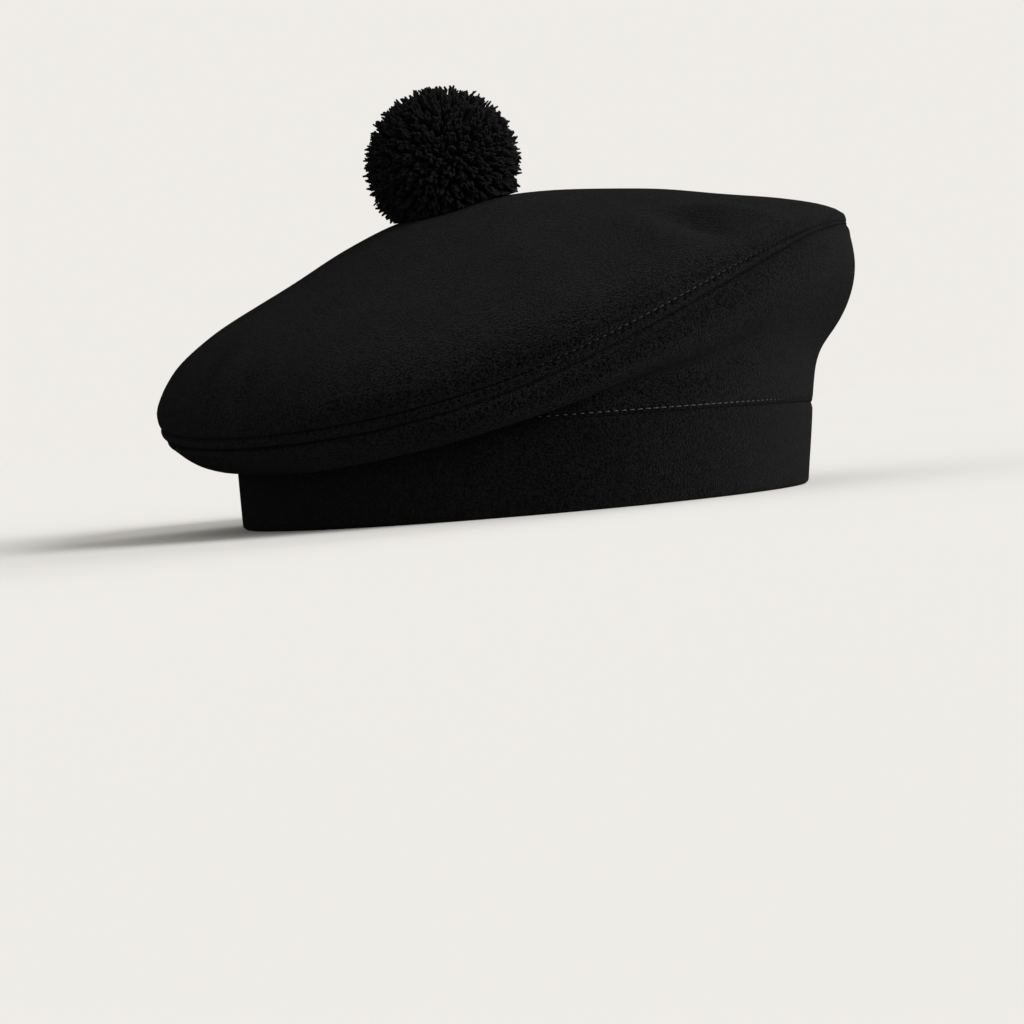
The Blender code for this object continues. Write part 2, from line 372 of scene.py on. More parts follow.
def band_top(sizes, turn):
    """The outside of the band's top edge."""
    point = direction(turn) * (wall_radius(sizes, turn) + sizes.band_flare)
    point += direction(0.0) * sizes.band_lean
    rise = sizes.band_tilt * math.cos(math.radians(turn - BAND_HIGH_TURN))
    return point + np.array((0.0, 0.0, sizes.band_height + rise))


def apex(sizes):
    """The top's middle, under the pompom."""
    point = direction(180.0) * APEX_BACK + direction(270.0) * APEX_SIDE
    return point + np.array((0.0, 0.0, sizes.band_height + STAND * APEX_UP))


def table_point(sizes, turn, name):
    point = band_top(sizes, turn) + direction(turn) * OVERHANG * around(turn, name + "_out")
    point[2] = sizes.band_height + STAND * around(turn, name + "_up")
    return point


def towards_apex(sizes, turn, share, column):
    """A point of the top between the shoulder and the apex, at a column's height."""
    shoulder = table_point(sizes, turn, "shoulder")
    point = shoulder + (apex(sizes) - shoulder) * share
    point[2] = sizes.band_height + STAND * around(turn, column)
    return point


def profile(sizes, turn):
    """The crown's control points at a turn, from the band to the apex, and its seam."""
    belly = table_point(sizes, turn, "belly")
    rim = table_point(sizes, turn, "rim")
    nose = table_point(sizes, turn, "nose")
    rising = (nose - belly) / np.linalg.norm(nose - belly)
    start = band_top(sizes, turn) - np.array((0.0, 0.0, OVERLAP))
    under = [start, table_point(sizes, turn, "tuck"), table_point(sizes, turn, "fold"), belly]
    seam = [rim - rising * SEAM_FLAT, rim + rising * SEAM_FLAT]
    top = [nose, table_point(sizes, turn, "shoulder")]
    top.append(towards_apex(sizes, turn, SLOPE_SHARE, "slope_up"))
    top.append(towards_apex(sizes, turn, CREST_SHARE, "crest_up"))
    top.append(apex(sizes))
    return under + seam + top, rim, rising


def curve_between(before, start, end, after, pieces):
    """Points from start towards end, without end, on a centripetal Catmull-Rom curve."""
    times = [0.0]
    for first, second in ((before, start), (start, end), (end, after)):
        times.append(times[-1] + math.sqrt(np.linalg.norm(second - first)))
    t0, t1, t2, t3 = times
    points = []
    for index in range(pieces):
        t = t1 + (t2 - t1) * index / pieces
        a1 = ((t1 - t) * before + (t - t0) * start) / (t1 - t0)
        a2 = ((t2 - t) * start + (t - t1) * end) / (t2 - t1)
        a3 = ((t3 - t) * end + (t - t2) * after) / (t3 - t2)
        b1 = ((t2 - t) * a1 + (t - t0) * a2) / (t2 - t0)
        b2 = ((t3 - t) * a2 + (t - t1) * a3) / (t3 - t1)
        points.append(((t2 - t) * b1 + (t - t1) * b2) / (t2 - t1))
    return points


def curve_through(controls, spans):
    """Points over some spans of the control points; spans lists (first index, pieces)."""
    ends = [2 * controls[0] - controls[1]] + controls + [2 * controls[-1] - controls[-2]]
    points = []
    for index, pieces in spans:
        before, start, end, after = ends[index : index + 4]
        points += curve_between(before, start, end, after, pieces)
    return points


def soften(line):
    """Rounds the bends of a line a little, as felt does, and keeps both ends."""
    for _ in range(SOFTENING):
        pairs = zip(line, line[1:-1], line[2:])
        line = [line[0]] + [(a + 2 * b + c) / 4 for a, b, c in pairs] + [line[-1]]
    return line


def under_line(sizes, turn):
    """The under panel's outer face at a turn, from the band to the seam."""
    controls, rim, rising = profile(sizes, turn)
    line = soften(curve_through(controls, ((0, 2), (1, 4), (2, 4), (3, 3))))
    return line + [controls[4], rim + rising * OVERLAP]


def top_line(sizes, turn):
    """The top panel's outer face at a turn, from the seam to the apex."""
    controls, rim, rising = profile(sizes, turn)
    line = [rim - rising * OVERLAP]
    line += curve_through(controls, ((5, 1), (6, 3), (7, 3), (8, 2), (9, 2)))
    return line + [apex(sizes)]


def spaced(line, stations, turn):
    """Points of a smooth curve through a line at the distances that stations gives."""
    spans = [(index, FINE) for index in range(len(line) - 1)]
    points = np.array(curve_through(line, spans) + [line[-1]])
    steps = np.linalg.norm(np.diff(points, axis=0), axis=1)
    walked = np.concatenate(((0.0,), np.cumsum(steps)))
    places = stations(walked[-1], turn)
    return np.stack([np.interp(places, walked, points[:, axis]) for axis in range(3)], axis=1), places


def all_round(sizes, line, stations, columns):
    """The grid of a panel, columns by stations, and each point's distance along its section."""
    grid = []
    walked = []
    for column in range(columns):
        turn = 360.0 * column / columns
        points, places = spaced(line(sizes, turn), stations, turn)
        grid.append(points)
        walked.append(places)
    return np.array(grid), np.array(walked)


def outward(grid):
    """The unit normals of a grid that is closed round its columns."""
    along = np.roll(grid, -1, axis=0) - np.roll(grid, 1, axis=0)
    across = np.gradient(grid, axis=1)
    normal = np.cross(along, across)
    return normal / np.maximum(np.linalg.norm(normal, axis=2, keepdims=True), 1e-12)


def hump(distance, middle, half_width):
    return np.exp(-(((distance - middle) / half_width) ** 2))


def seam_dip(distance):
    """How a turned edge rounds down into its seam."""
    return -SEAM_DEPTH * np.exp(-distance / SEAM_REACH)


def creases(grid, lines):
    """The lift of soft creases and ridges at each point of the grid."""
    lift = np.zeros(grid.shape[:2])
    for start_turn, start_out, start_up, end_turn, end_out, end_up, width, height in lines:
        start = direction(start_turn) * start_out / 1000 + np.array((0, 0, start_up / 1000))
        end = direction(end_turn) * end_out / 1000 + np.array((0, 0, end_up / 1000))
        run = end - start
        share = np.clip((grid - start) @ run / (run @ run), -RUN_ON, 1 + RUN_ON)
        away = np.linalg.norm(grid - (start + share[..., None] * run), axis=2)
        taper = np.cos((share - 0.5) / (0.5 + RUN_ON) * math.pi / 2) ** 2
        lift += height / 1000 * hump(away, 0.0, width / 1000) * taper
    return lift


def waviness(grid, height, seed):
    """A low irregular lift, as soft felt has, from a few waves over the grid's points."""
    shuffle = random.Random(seed)
    lift = np.zeros(grid.shape[:2])
    for _ in range(WAVES):
        wave = np.array([shuffle.gauss(0.0, 1.0) for _ in range(3)])
        wave *= 2 * math.pi / shuffle.uniform(*WAVE_LENGTHS) / np.linalg.norm(wave)
        lift += np.sin(grid @ wave + shuffle.uniform(0.0, 6.28)) * height / math.sqrt(WAVES)
    return lift


def closed_sheet(name, grid, edges, tip=None):
    """A mesh over a grid closed round its columns, with a UV map that runs along each edge."""
    columns, rounds = grid.shape[:2]
    points = grid.reshape(-1, 3).tolist()
    faces = []
    corners = []
    for column in range(columns):
        after = (column + 1) % columns
        for ring in range(rounds - 1):
            faces.append((column * rounds + ring, after * rounds + ring,
                          after * rounds + ring + 1, column * rounds + ring + 1))
            corners += [(column, ring), (column + 1, ring), (column + 1, ring + 1), (column, ring + 1)]
        if tip is not None:
            faces.append((column * rounds + rounds - 1, after * rounds + rounds - 1, len(points)))
            corners += [(column, rounds - 1), (column + 1, rounds - 1), (column, rounds - 1)]
    if tip is not None:
        points.append(tuple(tip))
    mesh = bpy.data.meshes.new(name)
    mesh.from_pydata(points, [], faces)
    where = np.array(corners)
    for edge, (along, away) in edges.items():
        layer = mesh.uv_layers.new(name=edge)
        wrapped = away[where[:, 0] % columns, where[:, 1]]
        uv = np.stack((along[where[:, 0]], wrapped * 1000), axis=1)
        layer.data.foreach_set("uv", uv.astype(np.float32).ravel())
    mesh.update()
    return mesh


def stitch_places(ring, pitch):
    """The running stitch number at each column of a ring, closed, and the stitch count."""
    closed = np.concatenate((ring, ring[:1]))
    walked = np.concatenate(((0.0,), np.cumsum(np.linalg.norm(np.diff(closed, axis=0), axis=1))))
    count = round(walked[-1] / pitch)
    return walked / walked[-1] * count, count


def put_in_scene(name, mesh, material):
    """The finished piece, riding on the hat's body."""
    mesh.name = name
    mesh.materials.append(material)
    mesh.polygons.foreach_set("use_smooth", [True] * len(mesh.polygons))
    if not mesh.polygons:
        raise RuntimeError(name + " has no faces")
    piece = bpy.data.objects.new(name, mesh)
    bpy.context.scene.collection.objects.link(piece)
    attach(piece, "root")
    return piece


def thicken(piece, thickness):
    """Adds felt on the inner side of a sheet."""
    solidify = piece.modifiers.new("felt", "SOLIDIFY")
    solidify.thickness = thickness
    solidify.offset = -1.0


class Finish:
    """A material's node tree, with short calls for its nodes."""

    def __init__(self, name):
        self.material = bpy.data.materials.new(name)
        self.material.use_nodes = True
        self.tree = self.material.node_tree
        self.shader = self.tree.nodes["Principled BSDF"]

    def wire(self, value, socket):
        if isinstance(value, bpy.types.NodeSocket):
            self.tree.links.new(value, socket)
        else:
            socket.default_value = value

    def place(self):
        """The point on the hat, in metres."""
        return self.tree.nodes.new("ShaderNodeTexCoord").outputs["Object"]

    def noise(self, scale, detail=2.0, roughness=0.5, distortion=0.0):
        node = self.tree.nodes.new("ShaderNodeTexNoise")
        node.inputs["Scale"].default_value = scale
        node.inputs["Detail"].default_value = detail
        node.inputs["Roughness"].default_value = roughness
        node.inputs["Distortion"].default_value = distortion
        self.wire(self.place(), node.inputs["Vector"])
        return node.outputs["Fac"]

    def maths(self, operation, first, second=0.0, third=0.0):
        node = self.tree.nodes.new("ShaderNodeMath")
        node.operation = operation
        for value, socket in zip((first, second, third), node.inputs):
            self.wire(value, socket)
        return node.outputs["Value"]

    def between(self, value, low, high, new_low, new_high):
        node = self.tree.nodes.new("ShaderNodeMapRange")
        for item, socket in zip((value, low, high, new_low, new_high), node.inputs):
            self.wire(item, socket)
        return node.outputs["Result"]

    def blend(self, factor, first, second):
        node = self.tree.nodes.new("ShaderNodeMix")
        node.data_type = "RGBA"
        self.wire(factor, node.inputs["Factor"])
        self.wire(first, node.inputs["A"])
        self.wire(second, node.inputs["B"])
        return node.outputs["Result"]

    def bump(self, height, distance, strength=1.0, normal=None):
        node = self.tree.nodes.new("ShaderNodeBump")
        node.inputs["Distance"].default_value = distance
        node.inputs["Strength"].default_value = strength
        self.wire(height, node.inputs["Height"])
        if normal is not None:
            self.wire(normal, node.inputs["Normal"])
        return node.outputs["Normal"]

    def seam(self, edge):
        """The running stitch number and the distance in millimetres from an edge."""
        uv = self.tree.nodes.new("ShaderNodeUVMap")
        uv.uv_map = edge
        split = self.tree.nodes.new("ShaderNodeSeparateXYZ")
        self.wire(uv.outputs["UV"], split.inputs["Vector"])
        return split.outputs["X"], split.outputs["Y"]

    def near(self, distance, middle, half_width):
        """1 at a distance from the edge, falling to 0 a half width away."""
        offset = self.maths("ABSOLUTE", self.maths("SUBTRACT", distance, middle))
        return self.between(offset, half_width, 0.0, 0.0, 1.0)


def shade(colour, factor):
    return (*(channel * factor for channel in colour), 1.0)


def felt_finish(name, colour, seams, contrast=1.0):
    """Matt wool felt: a fine mottled nap, longer fibres, a slow random drift of tone, painted
    shade in the seams and along the stitch rows, and puckers. seams lists (edge, distance of
    its stitches in millimetres, pucker depth)."""
    felt = Finish(name)
    nap = felt.noise(scale=1750.0, detail=2.0, roughness=0.6, distortion=0.3)
    fibres = felt.noise(scale=1050.0, detail=3.0, roughness=0.65, distortion=2.0)
    drift = felt.noise(scale=60.0, detail=4.0, roughness=0.6)
    mottle = felt.maths("MULTIPLY_ADD", nap, 0.6, felt.maths("MULTIPLY", fibres, 0.4))
    tone = felt.between(mottle, 0.43, 0.57, 0.0, 1.0)
    dark = shade(colour, 1.0 - 0.68 * contrast)
    tint = felt.blend(tone, dark, shade(colour, 1.0 + 0.72 * contrast))
    deep = felt.blend(tone, dark, shade(colour, 0.85 + 0.60 * contrast))
    slow = felt.between(drift, 0.38, 0.62, 0.0, 1.0)
    felt.wire(felt.between(nap, 0.3, 0.7, 0.88, 1.0), felt.shader.inputs["Roughness"])
    felt.shader.inputs["Specular IOR Level"].default_value = 0.0
    felt.shader.inputs["Sheen Weight"].default_value = 0.024
    felt.shader.inputs["Sheen Roughness"].default_value = 0.3
    normal = felt.bump(mottle, distance=0.0023)
    paint = felt.blend(slow, deep, tint)
    for edge, stitches, depth in seams:
        number, away = felt.seam(edge)
        # Painted shade: the base colour darkens nearly to black in the seam's groove and along the row
        # of stitches, where shade falls.
        seam_shade = felt.between(away, 0.2, 0.9, 1.0, 0.0)
        paint = felt.blend(seam_shade, paint, shade(colour, 0.02))
        row_shade = felt.maths("MULTIPLY", felt.near(away, stitches, 0.6), 0.8)
        paint = felt.blend(row_shade, paint, shade(colour, 0.05))
        beat = felt.maths("COSINE", felt.maths("MULTIPLY", number, 2 * math.pi))
        pucker = felt.maths("MULTIPLY", beat, felt.near(away, stitches, 1.6))
        normal = felt.bump(pucker, distance=depth, strength=0.5, normal=normal)
    felt.wire(paint, felt.shader.inputs["Base Color"])
    felt.wire(normal, felt.shader.inputs["Normal"])
    return felt.material


def thread_finish(colour):
    """Twisted sewing thread, with its plies across each stitch."""
    thread = Finish("sewing_thread")
    along, turn = thread.seam("Twist")
    plies = thread.maths("SINE", thread.maths("ADD", along, turn))
    fuzz = thread.noise(scale=6000.0)
    tone = thread.between(plies, -1.0, 1.0, 0.0, 1.0)
    tint = thread.blend(tone, shade(colour, 0.5), shade(colour, 1.2))
    thread.wire(tint, thread.shader.inputs["Base Color"])
    thread.wire(thread.between(fuzz, 0.2, 0.8, 0.5, 0.75), thread.shader.inputs["Roughness"])
    thread.shader.inputs["Specular IOR Level"].default_value = 0.3
    thread.shader.inputs["Sheen Weight"].default_value = 0.05
    normal = thread.bump(plies, distance=0.00006, strength=0.8)
    thread.wire(normal, thread.shader.inputs["Normal"])
    return thread.material


def yarn_finish(colour):
    """Brushed wool yarn, with painted shade and light: darkest at the roots among the ends
    and a little paler at their fuzzy tips.
    """
    yarn = Finish("brushed_yarn")
    along, turn = yarn.seam("Twist")
    fuzz = yarn.noise(scale=3200.0, detail=4.0, roughness=0.7, distortion=1.0)
    plies = yarn.maths("SINE", yarn.maths("ADD", yarn.maths("MULTIPLY", along, 16.0), turn))
    tone = yarn.between(fuzz, 0.35, 0.65, 0.0, 1.0)
    tint = yarn.blend(tone, shade(colour, 0.5), shade(colour, 1.6))
    # Painted shade and light: the core and the root of each end take the darkest colour, where shade
    # falls among the ends, and each end pales towards its tip.
    tips = yarn.between(along, 0.55, 1.0, 0.0, 0.5)
    yarn.wire(yarn.blend(tips, tint, shade(colour, 2.2)), yarn.shader.inputs["Base Color"])
    yarn.wire(yarn.between(fuzz, 0.2, 0.8, 0.85, 1.0), yarn.shader.inputs["Roughness"])
    yarn.shader.inputs["Specular IOR Level"].default_value = 0.04
    yarn.shader.inputs["Sheen Weight"].default_value = 0.01
    twist = yarn.bump(plies, distance=0.0001, strength=0.6)
    normal = yarn.bump(fuzz, distance=0.0004, strength=0.8, normal=twist)
    yarn.wire(normal, yarn.shader.inputs["Normal"])
    return yarn.material


def stage_finish(colour):
    """Matt paper of the floor."""
    paper = Finish("studio_paper")
    grain = paper.noise(scale=260.0, detail=3.0)
    slow = paper.noise(scale=1.3)
    tint = paper.blend(slow, shade(colour, 0.98), shade(colour, 1.0))
    paper.wire(tint, paper.shader.inputs["Base Color"])
    paper.wire(paper.between(grain, 0.3, 0.7, 0.9, 1.0), paper.shader.inputs["Roughness"])
    paper.shader.inputs["Specular IOR Level"].default_value = 0.0
    return paper.material


def thread_tube(path, sides, radii):
    """Rings of points round a path, with a radius at each of its points."""
    path = np.array(path)
    run = np.gradient(path, axis=0)
    run /= np.linalg.norm(run, axis=1, keepdims=True)
    helper = np.array((0.0, 0.0, 1.0)) if abs(run[0][2]) < 0.9 else np.array((1.0, 0.0, 0.0))
    side = np.cross(run, helper)
    side /= np.linalg.norm(side, axis=1, keepdims=True)
    other = np.cross(side, run)
    angles = np.arange(sides) * 2 * math.pi / sides
    circle = side[:, None] * np.cos(angles)[None, :, None]
    circle += other[:, None] * np.sin(angles)[None, :, None]
    return path[:, None] + circle * np.array(radii)[:, None, None]


class TubeBundle:
    """Collects many tubes into one mesh with a UV map along and round each."""

    def __init__(self):
        self.points = []
        self.faces = []
        self.uv = []

    def add(self, path, sides, radii):
        rings = thread_tube(path, sides, radii)
        count = len(rings)
        first = len(self.points)
        self.points += rings.reshape(-1, 3).tolist()
        for ring in range(count - 1):
            for index in range(sides):
                after = (index + 1) % sides
                low = first + ring * sides
                self.faces.append((low + index, low + index + sides, low + after + sides, low + after))
                left, right = index / sides, (index + 1) / sides
                start, end = ring / (count - 1), (ring + 1) / (count - 1)
                self.uv += [(start, left), (end, left), (end, right), (start, right)]
        low = first + (count - 1) * sides
        self.faces.append(tuple(range(low + sides - 1, low - 1, -1)))
        self.uv += [(1.0, 0.0)] * sides
        self.faces.append(tuple(range(first, first + sides)))
        self.uv += [(0.0, 0.0)] * sides

    def add_ball(self, centre, radius):
        """A plain ball, as the core that the tubes stand on."""
        ball = bmesh.new()
        bmesh.ops.create_icosphere(ball, subdivisions=4, radius=radius)
        first = len(self.points)
        self.points += [[axis + shift for axis, shift in zip(v.co, centre)] for v in ball.verts]
        self.faces += [tuple(first + v.index for v in face.verts) for face in ball.faces]
        self.uv += [(0.0, 0.0)] * 3 * len(ball.faces)
        ball.free()

    def mesh(self, name, along, turns):
        """The mesh; its UV map holds radians, along times the length and turns round."""
        mesh = bpy.data.meshes.new(name)
        mesh.from_pydata(self.points, [], self.faces)
        layer = mesh.uv_layers.new(name="Twist")
        uv = np.array(self.uv) * np.array((along, turns))
        layer.data.foreach_set("uv", uv.astype(np.float32).ravel())
        mesh.update()
        return mesh


def at_number(ring, number, place):
    """The value of a closed ring at a place on its running stitch number."""
    return np.array([np.interp(place, number, ring[:, axis]) for axis in range(3)])


def sew(name, grid, station, number, count, stitches, colour):
    """A row of stitches over one station of a cloth's grid."""
    bundle = TubeBundle()
    normals = outward(grid)
    ring = np.concatenate((grid[:, station], grid[:1, station]))
    out = np.concatenate((normals[:, station], normals[:1, station]))
    share = stitches.length / stitches.pitch / 2
    radii = [stitches.thread / 2 * size for size in STITCH_WIDTH]
    for stitch in range(count):
        shown = hump(stitch / count * 360.0, SHOWN_TURN, SHOWN_REACH) ** 2
        sunk = stitches.sunk * (1 - shown)
        path = []
        for step, lift in zip(STITCH_PLACES, STITCH_RISE):
            place = (stitch + 0.5 + share * step) % count
            up = at_number(out, number, place) * (lift * stitches.thread - sunk)
            path.append(at_number(ring, number, place) + up)
        bundle.add(path, STITCH_SIDES, radii)
    mesh = bundle.mesh(name, STITCH_PLIES, 2 * math.pi)
    put_in_scene(name, mesh, thread_finish(colour))


def edge_share(turn):
    """How wide the turned edge is at a turn: it narrows towards the high side."""
    away = (turn - NARROW_TURN + 180.0) % 360.0 - 180.0
    return 1.0 - NARROWING * math.exp(-((away / NARROW_REACH) ** 4))


def edge_shares():
    """The edge share at each column of the crown, as a column of one row each."""
    return np.array([[edge_share(360.0 * column / COLUMNS)] for column in range(COLUMNS)])


def top_stations(length, turn):
    near = np.array(TOP_EDGE) * edge_share(turn)
    far = np.linspace(near[-1], length * 0.985, TOP_ROUNDS + 1)[1:]
    return np.concatenate((near, far))


def under_stations(length, _turn):
    near = np.array(UNDER_EDGE)
    far = np.linspace(near[-1], length - near[-1], UNDER_ROUNDS + 1)[1:-1]
    return np.concatenate((near, far, length - near[::-1]))


def stage_light(name, camera_azimuth, place, power):
    """A far soft light that shines on the hat from its place in the list of lights."""
    turn, elevation, softness = place
    data = bpy.data.lights.new(name, "SUN")
    data.energy = power * math.pi
    data.angle = math.radians(softness)
    light = bpy.data.objects.new(name, data)
    bpy.context.scene.collection.objects.link(light)
    back = view_back(camera_azimuth + math.radians(turn), math.radians(elevation))
    light.location = back
    light.rotation_euler = back.to_track_quat("Z", "Y").to_euler()


def view_back(azimuth, elevation):
    """The unit vector from the hat to a viewer; azimuth 0 stands at the front."""
    level = math.cos(elevation)
    return Vector((math.sin(azimuth) * level, -math.cos(azimuth) * level, math.sin(elevation)))


class TAM_OT_stage(bpy.types.Operator):
    """Build the floor, the camera and the lights"""

    bl_idname = "tam.stage"
    bl_label = "Stage"

    def execute(self, context):
        _, _, _, colours, studio = settings()
        self.build_floor(colours)
        self.build_camera(context, studio)
        self.build_lights(context, studio)
        return {"FINISHED"}

    def build_floor(self, colours):
        """A wide round floor."""
        disc = bmesh.new()
        bmesh.ops.create_circle(disc, cap_ends=True, segments=96, radius=FLOOR_RADIUS)
        mesh = bpy.data.meshes.new("studio_floor")
        disc.to_mesh(mesh)
        disc.free()
        mesh.materials.append(stage_finish(colours.floor))
        floor = bpy.data.objects.new("studio_floor", mesh)
        bpy.context.scene.collection.objects.link(floor)

    def build_camera(self, context, studio):
        back = view_back(studio.azimuth, studio.elevation)
        right = Vector((math.cos(studio.azimuth), math.sin(studio.azimuth), 0.0))
        up = back.cross(right)
        turned_right = math.cos(studio.roll) * right - math.sin(studio.roll) * up
        turned_up = math.sin(studio.roll) * right + math.cos(studio.roll) * up
        aim = Vector(band_middle()) - turned_right * studio.aim_left - turned_up * studio.aim_down
        data = bpy.data.cameras.new("photo_camera")
        data.sensor_width = 36.0
        data.lens = studio.lens
        camera = bpy.data.objects.new("photo_camera", data)
        context.scene.collection.objects.link(camera)
        place = Matrix((turned_right, turned_up, back)).transposed().to_4x4()
        place.translation = aim + back * studio.distance
        camera.matrix_world = place
        context.scene.camera = camera

    def build_lights(self, context, studio):
        stage_light("key_light", studio.azimuth, KEY_PLACE, studio.key)
        stage_light("low_light", studio.azimuth, LOW_PLACE, studio.low)
        stage_light("rim_light", studio.azimuth, RIM_PLACE, studio.rim)
        world = bpy.data.worlds.new("studio_sky")
        world.use_nodes = True
        sky = world.node_tree.nodes["Background"]
        sky.inputs["Color"].default_value = SKY_TINT
        sky.inputs["Strength"].default_value = studio.sky
        context.scene.world = world
        context.scene.view_settings.view_transform = "Standard"


class TAM_OT_headband(bpy.types.Operator):
    """Build the headband of felt folded double over its bottom edge"""

    bl_idname = "tam.headband"
    bl_label = "Headband"

    def execute(self, context):
        sizes, stitches, _, colours, _ = settings()
        turns = [360.0 * column / BAND_COLUMNS for column in range(BAND_COLUMNS)]
        grid = np.array([self.section(sizes, turn) for turn in turns]) + band_middle()
        lift = waviness(grid, BAND_WAVES, seed=3) * self.free_height(sizes, grid)
        sideways = outward(grid)
        sideways[..., 2] = 0.0
        grid += sideways * lift[..., None] * np.sign((sideways * grid).sum(axis=2))[..., None]
        number, _ = stitch_places(grid[:, 0], stitches.pitch)
        away = np.abs(grid[..., 2] - grid[..., 2].max())
        mesh = closed_sheet("band_cloth", grid, {"BandSeam": (number, away)})
        seams = (("BandSeam", 0.0, 0.00005),)
        finish = felt_finish("band_felt_finish", colours.felt, seams, 0.9)
        band = put_in_scene("band_cloth", mesh, finish)
        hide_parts("headband")
        return {"FINISHED"}

    def free_height(self, sizes, grid):
        """0 at the band's edges and 1 between them."""
        share = np.clip(grid[..., 2] / sizes.band_height, 0.0, 1.0)
        return np.sin(share * math.pi) ** 0.5

    def section(self, sizes, turn):
        """The closed section of the band, from its outer top edge down and up inside."""
        out = direction(turn)
        low = out * wall_radius(sizes, turn)
        high = band_top(sizes, turn)
        wall = sizes.band_wall
        fold = wall / 2
        points = []
        for share in np.linspace(1.0, 0.0, OUTER_ROWS):
            point = low + (high - low) * share
            point[2] = fold + (high[2] - fold) * share
            round_off = BAND_ROUNDING * math.exp(-(high[2] - point[2]) / BAND_ROUNDING_REACH)
            points.append(point - out * round_off)
        for angle in np.linspace(0.0, math.pi, FOLD_ROWS)[1:-1]:
            point = low - out * fold * (1 - math.cos(angle))
            point[2] = fold - fold * math.sin(angle)
            points.append(point)
        for share in np.linspace(0.0, 1.0, INNER_ROWS):
            point = low + (high - low) * share - out * wall
            point[2] = fold + (high[2] - fold) * share
            points.append(point)
        points.append(high - out * wall / 2 + np.array((0.0, 0.0, BAND_CROWN)))
        points.append(points[0])
        return points


class TAM_OT_under_panel(bpy.types.Operator):
    """Build the under panel of the crown, from the band's seam to the rim's seam"""

    bl_idname = "tam.under_panel"
    bl_label = "Under Panel"

    def execute(self, context):
        sizes, stitches, _, colours, _ = settings()
        grid, walked = all_round(sizes, under_line, under_stations, COLUMNS)
        grid += band_middle()
        to_rim = walked[:, -1:] - walked
        row = sizes.band_roll_width
        high = np.cos(np.radians(np.arange(COLUMNS) * 360.0 / COLUMNS))[:, None]
        lift = edge_shares() * seam_dip(to_rim) + LIP * hump(to_rim, LIP_PLACE, LIP_REACH)
        full = hump(to_rim, FULLNESS_PLACE, FULLNESS_REACH)
        lift += FULLNESS * np.clip(high, 0.0, 1.0) ** 4 * full
        lift += creases(grid, UNDER_CREASES)
        groove = BAND_GROOVE * hump(walked, row, BAND_GROOVE_REACH)
        lift += seam_dip(walked) * BAND_SEAM_SHARE - groove
        free = np.clip(np.minimum(to_rim, walked) / UNDER_CALM, 0.0, 1.0)
        lift += waviness(grid, CROWN_WAVES, seed=5) * free
        grid += outward(grid) * lift[..., None]
        station = int(np.argmin(np.abs(walked[0] - row)))
        band_number, band_count = stitch_places(grid[:, station], stitches.pitch)
        rim_number, _ = stitch_places(grid[:, -1], stitches.pitch)
        edges = {"BandSeam": (band_number, walked), "RimSeam": (rim_number, to_rim)}
        mesh = closed_sheet("under_cloth", grid, edges)
        seams = (("BandSeam", row * 1000, 0.0001), ("RimSeam", 0.0, 0.00008))
        finish = felt_finish("under_felt_finish", colours.felt, seams, 1.25)
        under = put_in_scene("under_cloth", mesh, finish)
        thicken(under, sizes.felt)
        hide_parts("crown_under")
        thread = colours.thread
        sew("band_stitches", grid, station, band_number, band_count, stitches, thread)
        return {"FINISHED"}


class TAM_OT_top_panel(bpy.types.Operator):
    """Build the top panel of the crown, with its turned edge, creases and topstitching"""

    bl_idname = "tam.top_panel"
    bl_label = "Top Panel"

    def execute(self, context):
        sizes, stitches, _, colours, _ = settings()
        grid, walked = all_round(sizes, top_line, top_stations, COLUMNS)
        row = sizes.roll_width
        share = edge_shares()
        walked /= share
        groove = TOP_GROOVE * share * hump(walked, row, TOP_GROOVE_REACH)
        lift = share * seam_dip(walked * share) - groove
        lift += sizes.roll * share * np.sin(math.pi * np.clip(walked / row, 0.0, 1.0)) ** 0.7
        beyond = np.clip(walked - row, 0.0, None)
        lift += SWELL * (1 - np.exp(-beyond / SWELL_RISE)) * np.exp(-beyond / SWELL_FADE)
        free = np.clip((walked - row) / TOP_CALM, 0.0, 1.0)
        lift += (creases(grid, TOP_CREASES) + waviness(grid, CROWN_WAVES, seed=8)) * free
        grid += band_middle()
        grid += outward(grid) * lift[..., None]
        station = int(np.argmin(np.abs(np.array(TOP_EDGE) - row)))
        number, count = stitch_places(grid[:, station], stitches.pitch)
        tip = apex(sizes) + band_middle()
        mesh = closed_sheet("top_cloth", grid, {"RimSeam": (number, walked)}, tip)
        seams = (("RimSeam", row * 1000, 0.00015),)
        finish = felt_finish("top_felt_finish", colours.felt, seams, 1.4)
        top = put_in_scene("top_cloth", mesh, finish)
        thicken(top, sizes.felt)
        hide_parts("crown_top")
        sew("top_stitches", grid, station, number, count, stitches, colours.thread)
        return {"FINISHED"}


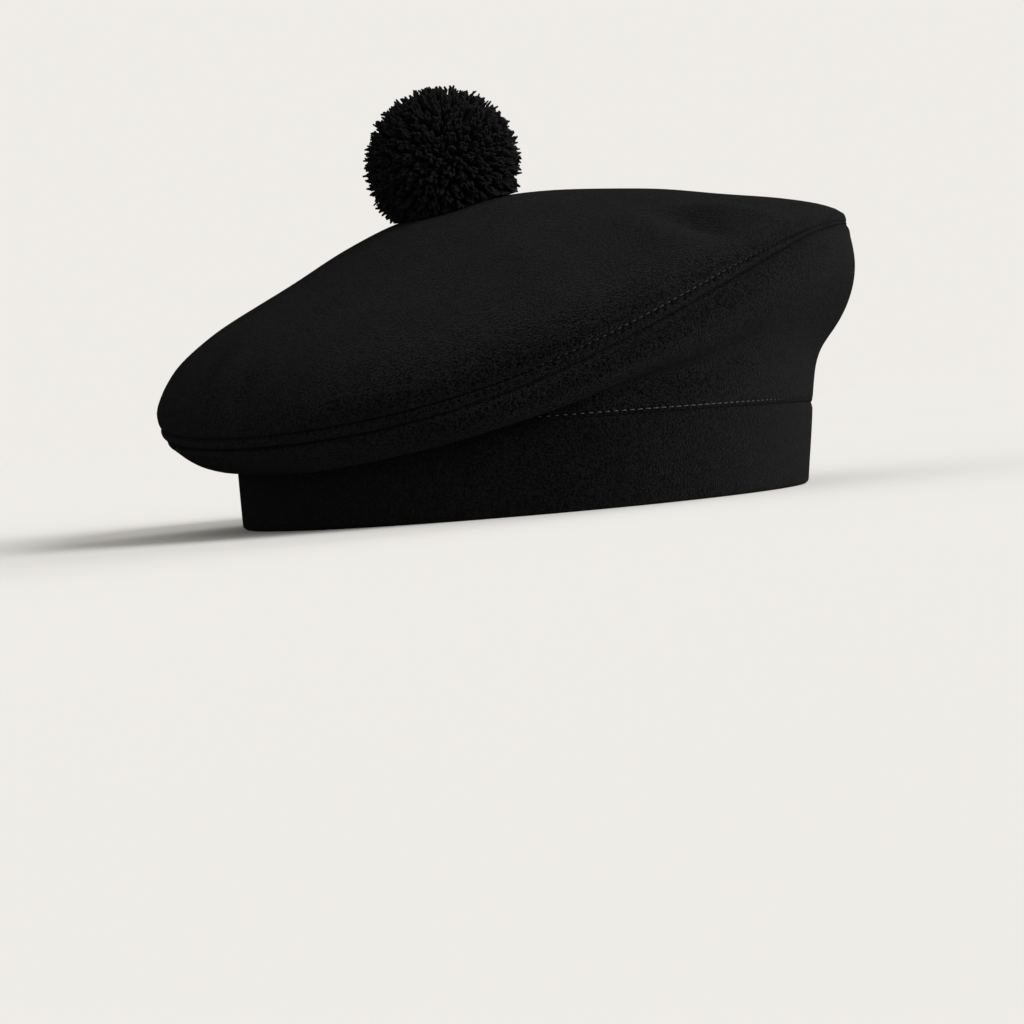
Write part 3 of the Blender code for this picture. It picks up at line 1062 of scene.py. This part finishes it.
class TAM_OT_pompom(bpy.types.Operator):
    """Build the pompom: a dense core and yarn ends gathered in tufts"""

    bl_idname = "tam.pompom"
    bl_label = "Pompom"

    def execute(self, context):
        _, _, yarn, colours, _ = settings()
        crown = self.crown_tree()
        middle = (POMPOM_LOW + POMPOM_HIGH) / 2
        half = (POMPOM_HIGH - POMPOM_LOW) / 2
        middle.z = POMPOM_HIGH.z - half.x
        centre = np.array(middle)
        reach = half.x
        tufts = self.spread(yarn.tufts, seed=5, jitter=0.35)
        ends = self.spread(yarn.strands, seed=9, jitter=0.5)
        shuffle = random.Random(21)
        bundle = TubeBundle()
        for end in ends:
            tuft = tufts[int(np.argmax(tufts @ end))]
            lean = end + (tuft - end) * yarn.gather
            lean /= np.linalg.norm(lean)
            length = reach * shuffle.uniform(*YARN_LENGTHS)
            path = []
            for share in YARN_PLACES:
                stray = np.array([shuffle.gauss(0.0, YARN_STRAY) for _ in range(3)])
                aside = end + (lean - end) * (share - LEAN_FROM) / (1 - LEAN_FROM) + stray
                path.append(self.above(crown, centre + aside * length * share))
            size = yarn.thickness * shuffle.uniform(0.8, 1.2) / 2
            bundle.add(path, YARN_SIDES, [size * width for width in YARN_WIDTHS])
        bundle.add_ball(centre, reach * CORE_SHARE)
        mesh = bundle.mesh("pompom_yarn", 1.0, 2 * math.pi)
        ball = put_in_scene("pompom_yarn", mesh, yarn_finish(colours.yarn))
        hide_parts("pompom")
        return {"FINISHED"}

    def spread(self, count, seed, jitter):
        """Directions spread evenly over a ball, a little shuffled."""
        shuffle = random.Random(seed)
        gap = math.sqrt(4 * math.pi / count)
        found = []
        for index in range(count):
            z = 1 - 2 * (index + 0.5) / count
            level = math.sqrt(1 - z * z)
            angle = index * math.pi * (3 - math.sqrt(5))
            point = np.array((level * math.cos(angle), level * math.sin(angle), z))
            point += np.array([shuffle.uniform(-1.0, 1.0) for _ in range(3)]) * gap * jitter
            found.append(point / np.linalg.norm(point))
        return np.array(found)

    def crown_tree(self):
        """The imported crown, for finding its height."""
        solid = frame["nodes"]["crown_top"].data
        corners = [v.co for v in solid.vertices]
        return BVHTree.FromPolygons(corners, [p.vertices[:] for p in solid.polygons])

    def above(self, crown, point):
        """The point, lifted to just over the crown where it lies lower."""
        place = crown.ray_cast(Vector((point[0], point[1], 1.0)), Vector((0.0, 0.0, -1.0)))[0]
        if place and point[2] < place.z + CLEARANCE:
            return np.array((point[0], point[1], place.z + CLEARANCE))
        return point


class TAM_PT_panel(bpy.types.Panel):
    """Lists the steps that build the hat"""

    bl_label = "Tam O'Shanter"
    bl_idname = "TAM_PT_panel"
    bl_space_type = "VIEW_3D"
    bl_region_type = "UI"
    bl_category = "Tam"

    def draw(self, context):
        layout = self.layout
        for step in OPERATORS:
            layout.operator(step.bl_idname)
        for group in settings():
            box = layout.box()
            for name in group.bl_rna.properties.keys():
                if name not in ("rna_type", "name"):
                    box.prop(group, name)


OPERATORS = (
    TAM_OT_stage,
    TAM_OT_headband,
    TAM_OT_under_panel,
    TAM_OT_top_panel,
    TAM_OT_pompom,
)
GROUPS = {
    "tam_sizes": TamSizes,
    "tam_stitches": TamStitches,
    "tam_yarn": TamYarn,
    "tam_colours": TamColours,
    "tam_studio": TamStudio,
}


def register():
    for group in GROUPS.values():
        bpy.utils.register_class(group)
    for step in (*OPERATORS, TAM_PT_panel):
        bpy.utils.register_class(step)
    for name, group in GROUPS.items():
        setattr(bpy.types.Scene, name, PointerProperty(type=group))


def unregister():
    for name in GROUPS:
        delattr(bpy.types.Scene, name)
    for step in (*OPERATORS, TAM_PT_panel, *GROUPS.values()):
        bpy.utils.unregister_class(step)


def main():
    register()
    bpy.ops.tam.stage()
    bpy.ops.tam.headband()
    bpy.ops.tam.under_panel()
    bpy.ops.tam.top_panel()
    bpy.ops.tam.pompom()


if __name__ == "__main__":
    main()
